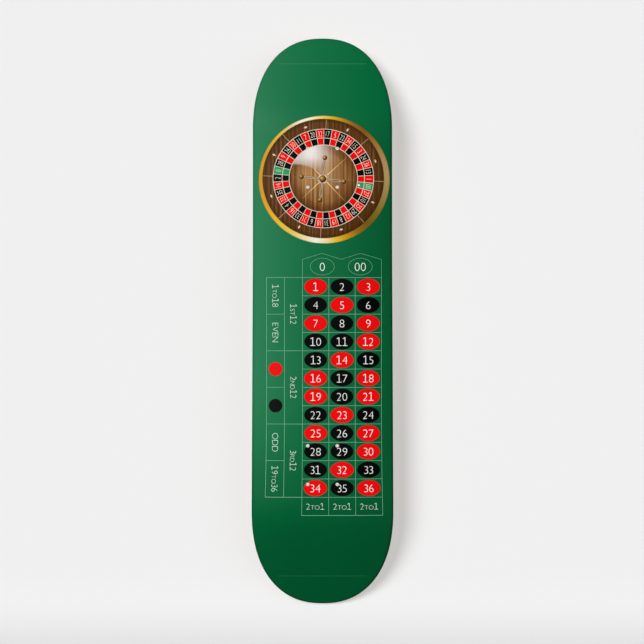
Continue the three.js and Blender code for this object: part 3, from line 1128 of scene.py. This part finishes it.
class DECK_OT_wheel_rim(bpy.types.Operator):
    """Prints the wheel's gilt rim, its wooden track, diamonds and pale radial lines"""
    bl_idname = "deck.wheel_rim"
    bl_label = "Wheel rim and track"

    first_line = 42.2      # degrees, and the others follow every 45
    first_diamond = 18.9
    kite = np.array([[-2.9, 0], [0, -1.45], [2.9, 0], [0, 1.45], [0, 0]]) * MM
    fan = np.array([[4, 0, 1], [4, 1, 2], [4, 2, 3], [4, 3, 0]])

    def execute(self, context):
        board = Board(context.scene.deck_shape)
        wheel = Wheel(context.scene.deck_wheel)
        inks, sizes = context.scene.deck_inks, wheel.sizes
        painted = ink_material("ink_gilt", drift=0.06)
        wood = ink_material("ink_wood", drift=0.14)
        pale = ink_material("ink_gilt_line", inks.gilt)
        ink_piece("print_wheel_rim", ring_patch(wheel.track(), wheel.rim(), steps=240, rings=6),
                  Inks.first, board, painted, gilt_tint(wheel))
        ink_piece("print_wheel_track",
                  ring_patch(wheel.ellipse(sizes.ring_outer), wheel.track(), steps=420, rings=12),
                  Inks.first, board, wood, track_tint(wheel))
        lines, diamonds = [], []
        for k in range(8):
            turn = math.radians(self.first_line + 45 * k)
            ends = [wheel.point(sizes.ring_outer, turn),
                    wheel.point(sizes.track_across - 0.6 * MM, turn)]
            lines.append(band_patch(ends, sizes.line * 0.55))
            turn = math.radians(self.first_diamond + 45 * k)
            x, z = wheel.point(sizes.diamond_radius, turn)
            lean = turn + (math.pi / 2 if k % 2 == 0 else 0)
            diamonds.append(moved((self.kite, self.fan), x, z, lean))
        ink_piece("print_track_lines", join_patches(lines), Inks.second, board, pale)
        ink_piece("print_track_diamonds", join_patches(diamonds), Inks.second, board,
                  ink_material("ink_diamond", (0.72, 0.62, 0.42)))
        return {"FINISHED"}


def number_tone(number):
    """Which ink a number's pocket takes."""
    if number in (0, "00"):
        return "zero"
    return "red" if number in RED_NUMBERS else "black"


class DECK_OT_wheel_ring(bpy.types.Operator):
    """Prints the ring of thirty-eight numbered pockets"""
    bl_idname = "deck.wheel_ring"
    bl_label = "Number ring"

    def execute(self, context):
        board = Board(context.scene.deck_shape)
        wheel = Wheel(context.scene.deck_wheel)
        inks, sizes = context.scene.deck_inks, wheel.sizes
        sectors = {"red": [], "black": [], "zero": []}
        dividers, numerals = [], []
        rings = [sizes.ring_inner, sizes.ring_middle, sizes.ring_outer]
        for place, number in enumerate(wheel.clockwise):
            middle = wheel.pocket_angle(place)
            start, end = middle - wheel.pocket / 2, middle + wheel.pocket / 2
            sectors[number_tone(number)].append(
                ring_patch(wheel.ellipse(rings[0]), wheel.ellipse(rings[2]), start, end, 5, 8))
            ends = [wheel.point(rings[0], start), wheel.point(rings[2], start)]
            dividers.append(band_patch(ends, sizes.line * 0.8))
            numerals.append(self.numeral(wheel, str(number), middle))
        for radius in rings:
            half = sizes.line / 2
            dividers.append(ring_patch(wheel.ellipse(radius - half),
                                       wheel.ellipse(radius + half), steps=180, rings=1))
        for tone, patches in sectors.items():
            material = ink_material(f"ink_{tone}", getattr(inks, tone))
            ink_piece(f"print_pockets_{tone}", join_patches(patches), Inks.first, board,
                      material, drilled=tone != "zero")
        ink_piece("print_pocket_lines", join_patches(dividers), Inks.second, board,
                  ink_material("ink_ring_line", (0.70, 0.66, 0.52)))
        ink_piece("print_wheel_numerals", join_patches(numerals), Inks.third, board,
                  ink_material("ink_cream", display_colours([(240, 230, 206)])[0]))
        return {"FINISHED"}

    def numeral(self, wheel, text, middle):
        """A narrow number in the outer half of its pocket, its top outwards."""
        height, narrow, widest = 7.9 * MM, 0.62, 8.6 * MM
        points, faces = lettering(text, NARROW)
        span = points[:, 0].max()
        width = min(narrow * span * height, widest) / span
        points = points - [span / 2, 0.5]
        x, z = wheel.point((wheel.sizes.ring_middle + wheel.sizes.ring_outer) / 2, middle)
        return moved((points, faces), x, z, middle - math.pi / 2, width, height)


class DECK_OT_wheel_bowl(bpy.types.Operator):
    """Prints the wheel's wooden bowl with its gilt rays, turret and ball"""
    bl_idname = "deck.wheel_bowl"
    bl_label = "Bowl and turret"

    # direction in degrees, end in mm from the hub
    rays = [(41.8, 44.5), (-46.4, 43.0), (223.5, 40.0), (134.0, 22.0),
            (177.0, 44.0), (-3.0, 44.0), (267.0, 44.0), (87.0, 16.0)]
    ray_start = 7.5 * MM
    arms = [84.0, 174.0, -7.4, 262.8]
    brass = [(0.0, (240, 214, 150)), (0.3, (170, 130, 58)), (0.8, (104, 73, 24)),
             (1.1, (62, 40, 12)), (1.4, (34, 20, 6))]

    def execute(self, context):
        board = Board(context.scene.deck_shape)
        wheel = Wheel(context.scene.deck_wheel)
        inks, sizes = context.scene.deck_inks, wheel.sizes
        hub_x, hub_z, across, along = wheel.ellipse(sizes.ring_inner)
        wood = ink_material("ink_wood", drift=0.14)
        ink_piece("print_bowl", oval_patch(hub_x, hub_z, across, along, steps=300, rings=56),
                  Inks.first, board, wood, bowl_tint(wheel), drilled=True)
        self.print_rays(board, wheel)
        self.print_turret(board, wheel)
        ball = wheel.point(50.4 * MM, math.radians(-10.8))
        patch = oval_patch(*ball, 1.5 * MM, 1.5 * MM, steps=24, rings=3)
        ink_piece("print_ball", patch, Inks.third, board, ink_material("ink_ball", inks.ivory))
        return {"FINISHED"}

    def axial(self, turn):
        """Whether a direction is within fifteen degrees of across or along."""
        return np.abs(np.sin(2 * turn)) < 0.5

    def print_rays(self, board, wheel):
        """Tapering rays: wide and pale at the hub, thin and gilt at their ends. The axial
        ones are narrower and darker."""
        rays = []
        for degrees, reach in self.rays:
            turn = math.radians(degrees)
            t = np.linspace(0, 1, 16)[:, None]
            run = self.ray_start + (reach * MM - self.ray_start) * t
            wide = np.array([[-1.0, 0.0, 1.0]]) * (1.05 - 0.72 * t) * MM / 2
            if self.axial(turn):
                wide = wide * 0.75
            x = run * math.cos(turn) - wide * math.sin(turn) + wheel.sizes.hub_x
            z = run * math.sin(turn) + wide * math.cos(turn) + wheel.sizes.hub_z
            rays.append(grid_patch(x, z))
        stops = display_colours([(252, 236, 204), (240, 200, 132), (190, 140, 52)])

        def tint(x, z):
            radius, turn = wheel.polar(x, z)
            tone = blend_stops(radius, np.array([4, 20, 44]) * MM, stops)
            return tone * np.where(self.axial(turn), 0.5, 1.0)[:, None]
        ink_piece("print_bowl_rays", join_patches(rays), Inks.second, board,
                  ink_material("ink_gilt"), tint)

    def print_turret(self, board, wheel):
        """Four arms, each two wires that cross, with a ball at each end and one on the hub."""
        sizes = wheel.sizes
        hub = np.array([sizes.hub_x - 1.0 * MM, sizes.hub_z - 0.6 * MM])
        glow = oval_patch(*hub, 7.6 * MM, 7.4 * MM, steps=40, rings=6)
        stops = display_colours([(255, 238, 204), (230, 192, 142), (160, 118, 76)])
        ink_piece("print_hub_plate", glow, Inks.second, board, ink_material("ink_gilt"),
                  lambda x, z: blend_stops(np.hypot(x - hub[0], z - hub[1]),
                                           np.array([4.5, 6, 7.6]) * MM, stops))
        wires, shadows, balls = [], [], [(hub, 5.1 * MM)]
        t = np.linspace(0, 1, 25)[:, None]
        for degrees in self.arms:
            turn = math.radians(degrees)
            run = 5 * MM + (sizes.arm - 7.5 * MM) * t
            for side in (-1, 1):
                sway = side * 1.6 * MM * np.sin(math.pi * (1.3 * t - 0.3))
                for width, kept in ((1.7 * MM, shadows), (0.75 * MM, wires)):
                    wide = np.array([[-0.5, 0.0, 0.5]]) * width + sway
                    x = hub[0] + run * math.cos(turn) - wide * math.sin(turn)
                    z = hub[1] + run * math.sin(turn) + wide * math.cos(turn)
                    kept.append(grid_patch(x, z))
            end = hub + sizes.arm * np.array([math.cos(turn), math.sin(turn)])
            balls.append((end, 3.3 * MM))
        for name, part, layer, ink, tone in (
                ("print_arm_shadows", shadows, Inks.third, "ink_arm_shadow", (92, 62, 34)),
                ("print_turret_arms", wires, Inks.fourth, "ink_wire", (206, 186, 160))):
            ink_piece(name, join_patches(part), layer, board,
                      ink_material(ink, display_colours([tone])[0]))
        for k, (centre, radius) in enumerate(balls):
            name = "print_turret_hub" if k == 0 else f"print_turret_ball_{k}"
            ink_piece(name, oval_patch(*centre, radius, radius, steps=32, rings=6),
                      Inks.fifth, board, ink_material("ink_gilt"),
                      ball_tint(*centre, radius, self.brass))


# The printed layout ---------------------------------------------------------

class Layout:
    """The layout's lines and cells. Towards the nose the print spreads a little, as a film
    does when it is rolled over the start of the kick."""

    rows = 12
    middle = 15 * MM          # the print spreads about this line
    spread_from = -120 * MM   # and does so below this height
    spread_over = 160 * MM    # over this much further down it gains the whole share
    most = 0.030

    def __init__(self, sizes):
        self.sizes = sizes
        s = sizes
        self.columns = [s.numbers_left + s.column * k for k in range(4)]
        self.bottom = s.top - self.rows * s.row
        self.foot = self.bottom - s.row
        self.outside = (s.outside_left + s.dozens_left) / 2
        self.dozens = (s.dozens_left + s.numbers_left) / 2
        self.zeros = [(-0.3 * MM, s.top + 15.3 * MM, "0"), (52.8 * MM, s.top + 15.3 * MM, "00")]

    def row(self, count):
        """Height of the line under so many rows."""
        return self.sizes.top - self.sizes.row * count

    def spread(self, patch):
        """Widens a patch, as the square of how far it is below spread_from."""
        points, faces = patch
        low = np.clip((self.spread_from - points[:, 1]) / self.spread_over, 0, 1)
        x = self.middle + (points[:, 0] - self.middle) * (1 + self.most * low * low)
        return np.stack([x, points[:, 1]], axis=1), faces


class DECK_OT_layout_lines(bpy.types.Operator):
    """Prints the layout's white lines, the zero boxes and the faint lines on the kicks"""
    bl_idname = "deck.layout_lines"
    bl_label = "Layout lines"

    def execute(self, context):
        board = Board(context.scene.deck_shape)
        layout = Layout(context.scene.deck_layout)
        s = layout.sizes
        pale = ink_material("ink_line", context.scene.deck_inks.line)
        lines = [self.upright(layout, x, s.top, layout.bottom)
                 for x in (s.outside_left, s.dozens_left)]
        lines += [self.upright(layout, x, s.top, layout.foot) for x in layout.columns]
        left, right = layout.columns[0], layout.columns[3]
        lines += [self.level(layout, left, right, layout.row(k), s.line)
                  for k in range(layout.rows + 1)]
        lines.append(self.level(layout, left, right, layout.foot, s.foot_line))
        for start, end, step in ((s.dozens_left, left, 4), (s.outside_left, s.dozens_left, 2)):
            for k in range(0, layout.rows + 1, step):
                width = s.foot_line if k == layout.rows else s.line
                lines.append(self.level(layout, start, end, layout.row(k), width))
        middle, base = (left + right) / 2, s.top + s.line / 2
        eaves, ridge = s.top + 25.4 * MM, s.top + 33.8 * MM
        peaks, valley = (middle - 27.7 * MM, middle + 25.8 * MM), middle - 1.1 * MM
        roof = [(left, base), (left, eaves), (peaks[0], ridge), (valley, eaves),
                (peaks[1], ridge), (right, eaves), (right, base)]
        lines.append(band_patch(roof, s.faint_line))
        ovals = []
        half, across, along = s.faint_line / 2, 16.7 * MM, 11.7 * MM
        for x, z, _ in layout.zeros:
            inner, outer = [(x, z, across + out, along + out) for out in (-half, half)]
            ovals.append(ring_patch(inner, outer, steps=72, rings=1))
        ink_piece("print_layout_lines", layout.spread(join_patches(lines)), Inks.second, board,
                  pale)
        ink_piece("print_zero_ovals", join_patches(ovals), Inks.second, board, pale)
        faint = ink_material("ink_faint_line", display_colours([(70, 136, 98)])[0])
        for name, z, width in (("print_tail_line", 356 * MM, s.line),
                               ("print_nose_line", -366 * MM, s.line / 2)):
            ink_piece(name, band_patch([(-62 * MM, z), (62 * MM, z)], width), Inks.second,
                      board, faint)
        return {"FINISHED"}

    def upright(self, layout, x, top, bottom):
        half = layout.sizes.line / 2
        return band_patch([(x, top + half), (x, bottom - half)], layout.sizes.line)

    def level(self, layout, left, right, z, width):
        """A line across, from column to column, so that it stops at each upright."""
        half = layout.sizes.line / 2
        inside = [x for x in layout.columns if left - MM < x < right + MM]
        stops = sorted({round(v, 6) for v in [left, right] + inside})
        pieces = [band_patch([(a + half, z), (b - half, z)], width)
                  for a, b in zip(stops[:-1], stops[1:])]
        return join_patches(pieces)


class DECK_OT_layout_spots(bpy.types.Operator):
    """Prints the red and black spots with their numbers"""
    bl_idname = "deck.layout_spots"
    bl_label = "Numbered spots"

    def execute(self, context):
        board = Board(context.scene.deck_shape)
        layout = Layout(context.scene.deck_layout)
        s, inks = layout.sizes, context.scene.deck_inks
        spots = {"red": [], "black": []}
        numerals = []
        for number in range(1, 37):
            x, z = self.cell(layout, number)
            spots[number_tone(number)].append(
                oval_patch(x, z, s.spot_across, s.spot_along, steps=56, rings=7))
            numerals.append(moved(words([(str(number), 1.0)], s.digit), x, z))
        for x, z, text in layout.zeros:
            numerals.append(moved(words([(text, 1.0)], s.zero), x, z))
        spots["red"].append(oval_patch(layout.outside, layout.row(5), s.dot, s.dot))
        spots["black"].append(oval_patch(layout.outside, layout.row(7), s.dot, s.dot))
        for tone, patches in spots.items():
            material = ink_material(f"ink_{tone}", getattr(inks, tone))
            ink_piece(f"print_spots_{tone}", layout.spread(join_patches(patches)), Inks.first,
                      board, material, drilled=True)
        ink_piece("print_numbers", layout.spread(join_patches(numerals)), Inks.second, board,
                  ink_material("ink_white", inks.white), drilled=True)
        return {"FINISHED"}

    def cell(self, layout, number):
        """Middle of a number's cell: three to a row, rows downwards."""
        s = layout.sizes
        column, row = (number - 1) % 3, (number - 1) // 3
        return layout.columns[column] + s.column / 2, layout.row(row + 0.5)


class DECK_OT_layout_words(bpy.types.Operator):
    """Prints the outside bets, the dozens and the column bets"""
    bl_idname = "deck.layout_words"
    bl_label = "Layout words"

    outside = [(1, [("1", 1.0), ("TO", 0.72), ("18", 1.0)]), (3, [("EVEN", 1.0)]),
               (9, [("ODD", 1.0)]), (11, [("19", 1.0), ("TO", 0.72), ("36", 1.0)])]
    dozens = [(2, [("1", 1.0), ("ST", 0.72), ("12", 1.0)]),
              (6, [("2", 1.0), ("ND", 0.72), ("12", 1.0)]),
              (10, [("3", 1.0), ("RD", 0.72), ("12", 1.0)])]

    def execute(self, context):
        board = Board(context.scene.deck_shape)
        layout = Layout(context.scene.deck_layout)
        s = layout.sizes
        patches = []
        downwards = -math.pi / 2
        for x, column in ((layout.outside, self.outside), (layout.dozens, self.dozens)):
            for row, runs in column:
                patches.append(moved(words(runs, s.word), x, layout.row(row), downwards))
        for k in range(3):
            x = layout.columns[k] + s.column / 2
            runs = [("2", 1.0), ("TO", 0.72), ("1", 1.0)]
            patches.append(moved(words(runs, s.word), x, layout.row(12.5)))
        ink_piece("print_words", layout.spread(join_patches(patches)), Inks.second, board,
                  ink_material("ink_word", context.scene.deck_inks.word))
        return {"FINISHED"}


# Stage ----------------------------------------------------------------------

class DECK_OT_stage(bpy.types.Operator):
    """Sets up the pale floor and wall, the soft lights and the camera"""
    bl_idname = "deck.stage"
    bl_label = "Stage"

    wall_gap = 6 * MM       # from the kick tips to the wall
    floor_gap = 60 * MM     # from the nose down to the floor
    extra_glow = 0.12       # of the wall, right behind the deck

    def execute(self, context):
        studio = context.scene.deck_studio
        low, high = CAD_BOX
        self.backdrop(studio, high[1] + self.wall_gap, low[2] - self.floor_gap)
        self.sun("key_light", studio.key, studio.key_spread, azimuth=-31, elevation=17)
        for name, strength, spread, azimuth, elevation in (
                ("fill_light", studio.fill, 60, 42, 0), ("rear_light", studio.rear, 40, 205, 25)):
            light = self.sun(name, strength, math.radians(spread), azimuth, elevation)
            light.data.use_shadow = False
            light.visible_glossy = False
        self.softbox("back_light", studio.back, place=(0.9, 2.2, 1.1), size=1.6)
        self.world(studio)
        self.camera(studio, low[1])
        context.scene.view_settings.view_transform = "Standard"
        return {"FINISHED"}

    def backdrop(self, studio, wall_y, floor_z):
        """A floor that sweeps up into a wall: a level run, a quarter circle, an upright run."""
        deep, high, half, sweep = 3.0, 2.6, 2.2, 0.10
        turn = np.linspace(0, math.pi / 2, 17)
        y = np.concatenate([[wall_y - deep], wall_y - sweep + sweep * np.sin(turn), [wall_y]])
        z = np.concatenate([[floor_z], floor_z + sweep - sweep * np.cos(turn), [floor_z + high]])
        x = np.array([-half, half])
        points = np.stack(np.broadcast_arrays(x[None, :], y[:, None], z[:, None]), axis=-1)
        index = np.arange(2 * len(y)).reshape(-1, 2)
        faces = np.stack([index[:-1, 0], index[:-1, 1], index[1:, 1], index[1:, 0]], axis=-1)
        mesh = bpy.data.meshes.new("backdrop")
        mesh.from_pydata(points.reshape(-1, 3).tolist(), [], faces.tolist())
        mesh.shade_smooth()
        backdrop = bpy.data.objects.new("backdrop", mesh)
        bpy.context.scene.collection.objects.link(backdrop)
        mesh.materials.append(self.backdrop_material(studio))
        backdrop.visible_diffuse = backdrop.visible_glossy = False

    def backdrop_material(self, studio):
        """Matt paper that glows a little, most behind the middle of the deck, and is only
        there from its front, so that the deck can be seen and lit from behind it."""
        material, graph, shader = new_material("backdrop_paper")
        fibre = graph.noise(graph.stretched(1, 1, 1), 900.0, 3.0)
        tone = graph.span(fibre, 0.3, 0.7, studio.paper * 0.97, studio.paper * 1.03)
        grey = graph.add("ShaderNodeCombineColor", {0: tone, 1: tone, 2: tone})
        graph.feed(shader, "Base Color", grey)
        shader.inputs["Roughness"].default_value = 0.9
        shader.inputs["Specular IOR Level"].default_value = 0.0
        place = graph.add("ShaderNodeSeparateXYZ",
                          {0: graph.add("ShaderNodeTexCoord").outputs["Object"]})
        across = graph.span(graph.maths("ABSOLUTE", place.outputs[0]), 0.03, 0.06, 1.0, 0.0)
        along = graph.span(graph.maths("ABSOLUTE", place.outputs[2]), 0.25, 0.30, 1.0, 0.0)
        behind_deck = graph.maths("MULTIPLY", across, along)
        extra = graph.maths("MULTIPLY", behind_deck, self.extra_glow)
        glow = graph.maths("ADD", extra, studio.glow)
        shader.inputs["Emission Color"].default_value = (1, 1, 1, 1)
        graph.feed(shader, "Emission Strength", glow)
        behind = graph.add("ShaderNodeNewGeometry").outputs["Backfacing"]
        shadow = graph.add("ShaderNodeLightPath").outputs["Is Shadow Ray"]
        away = graph.maths("MAXIMUM", behind, shadow)
        clear = graph.add("ShaderNodeBsdfTransparent")
        mix = graph.add("ShaderNodeMixShader", {0: away, 1: shader, 2: clear})
        output = next(n for n in graph.tree.nodes if n.type == "OUTPUT_MATERIAL")
        graph.feed(output, "Surface", mix)
        return material

    def sun(self, name, strength, spread, azimuth, elevation):
        """A wide even light from a direction in degrees, seen from the underside."""
        lamp = bpy.data.lights.new(name, "SUN")
        lamp.energy, lamp.angle = strength, spread
        light = bpy.data.objects.new(name, lamp)
        light.rotation_euler = (math.radians(90 - elevation), 0, math.radians(azimuth))
        bpy.context.scene.collection.objects.link(light)
        return light

    def softbox(self, name, power, place, size):
        """A soft square light that looks at the middle of the deck."""
        lamp = bpy.data.lights.new(name, "AREA")
        lamp.shape, lamp.size, lamp.energy = "SQUARE", size, power
        light = bpy.data.objects.new(name, lamp)
        light.location = place
        x, y, z = place
        light.rotation_euler = (math.atan2(math.hypot(x, y), z), 0,
                                math.atan2(y, x) + math.pi / 2)
        bpy.context.scene.collection.objects.link(light)

    def world(self, studio):
        """Pale to the camera and dim as a light, with nothing of it in the reflections."""
        world = bpy.data.worlds.new("studio_air")
        world.use_nodes = True
        graph = Graph(world.node_tree)
        seen = graph.add("ShaderNodeLightPath").outputs["Is Camera Ray"]
        air = world.node_tree.nodes["Background"]
        air.inputs["Color"].default_value = (0.98, 0.99, 1.0, 1)
        graph.feed(air, "Strength", graph.span(seen, 0.0, 1.0, studio.air, 0.86))
        world.cycles_visibility.glossy = False
        bpy.context.scene.world = world

    def camera(self, studio, front):
        """A long lens, level and square to the underside."""
        lens = bpy.data.cameras.new("camera")
        lens.lens, lens.sensor_width = studio.lens, 36
        camera = bpy.data.objects.new("camera", lens)
        camera.location = (studio.aim_x, front - studio.distance, studio.aim_z)
        camera.rotation_euler = (math.pi / 2, 0, 0)
        bpy.context.scene.collection.objects.link(camera)
        bpy.context.scene.camera = camera


class DECK_PT_sidebar(bpy.types.Panel):
    """Lists the deck's sizes and the steps that build it"""
    bl_idname = "DECK_PT_sidebar"
    bl_label = "Roulette Deck"
    bl_space_type = "VIEW_3D"
    bl_region_type = "UI"
    bl_category = "Deck"

    def draw(self, context):
        scene = context.scene
        for title, group in (("Shape", scene.deck_shape), ("Wheel", scene.deck_wheel),
                             ("Layout", scene.deck_layout), ("Inks", scene.deck_inks),
                             ("Studio", scene.deck_studio)):
            box = self.layout.box()
            box.label(text=title)
            for key in group.bl_rna.properties.keys():
                if key not in {"rna_type", "name"}:
                    box.prop(group, key)
        for step in STEPS:
            self.layout.operator(step.bl_idname)


GROUPS = {"deck_shape": DeckShape, "deck_wheel": WheelPrint, "deck_layout": LayoutPrint,
          "deck_inks": InkColours, "deck_studio": Studio}
STEPS = [DECK_OT_plies, DECK_OT_film, DECK_OT_wheel_rim, DECK_OT_wheel_ring,
         DECK_OT_wheel_bowl, DECK_OT_layout_lines, DECK_OT_layout_spots,
         DECK_OT_layout_words, DECK_OT_stage]


def register():
    """Registers the settings, the steps and the panel."""
    for group in GROUPS.values():
        bpy.utils.register_class(group)
    for step in STEPS:
        bpy.utils.register_class(step)
    bpy.utils.register_class(DECK_PT_sidebar)
    for name, group in GROUPS.items():
        setattr(bpy.types.Scene, name, bpy.props.PointerProperty(type=group))


def unregister():
    """Takes them all out again."""
    for name in GROUPS:
        delattr(bpy.types.Scene, name)
    bpy.utils.unregister_class(DECK_PT_sidebar)
    for item in STEPS + list(GROUPS.values()):
        bpy.utils.unregister_class(item)


def main():
    """Runs every step."""
    register()
    bpy.ops.deck.stage()
    bpy.ops.deck.plies()
    bpy.ops.deck.film()
    bpy.ops.deck.wheel_rim()
    bpy.ops.deck.wheel_ring()
    bpy.ops.deck.wheel_bowl()
    bpy.ops.deck.layout_lines()
    bpy.ops.deck.layout_spots()
    bpy.ops.deck.layout_words()


if __name__ == "__main__":
    main()
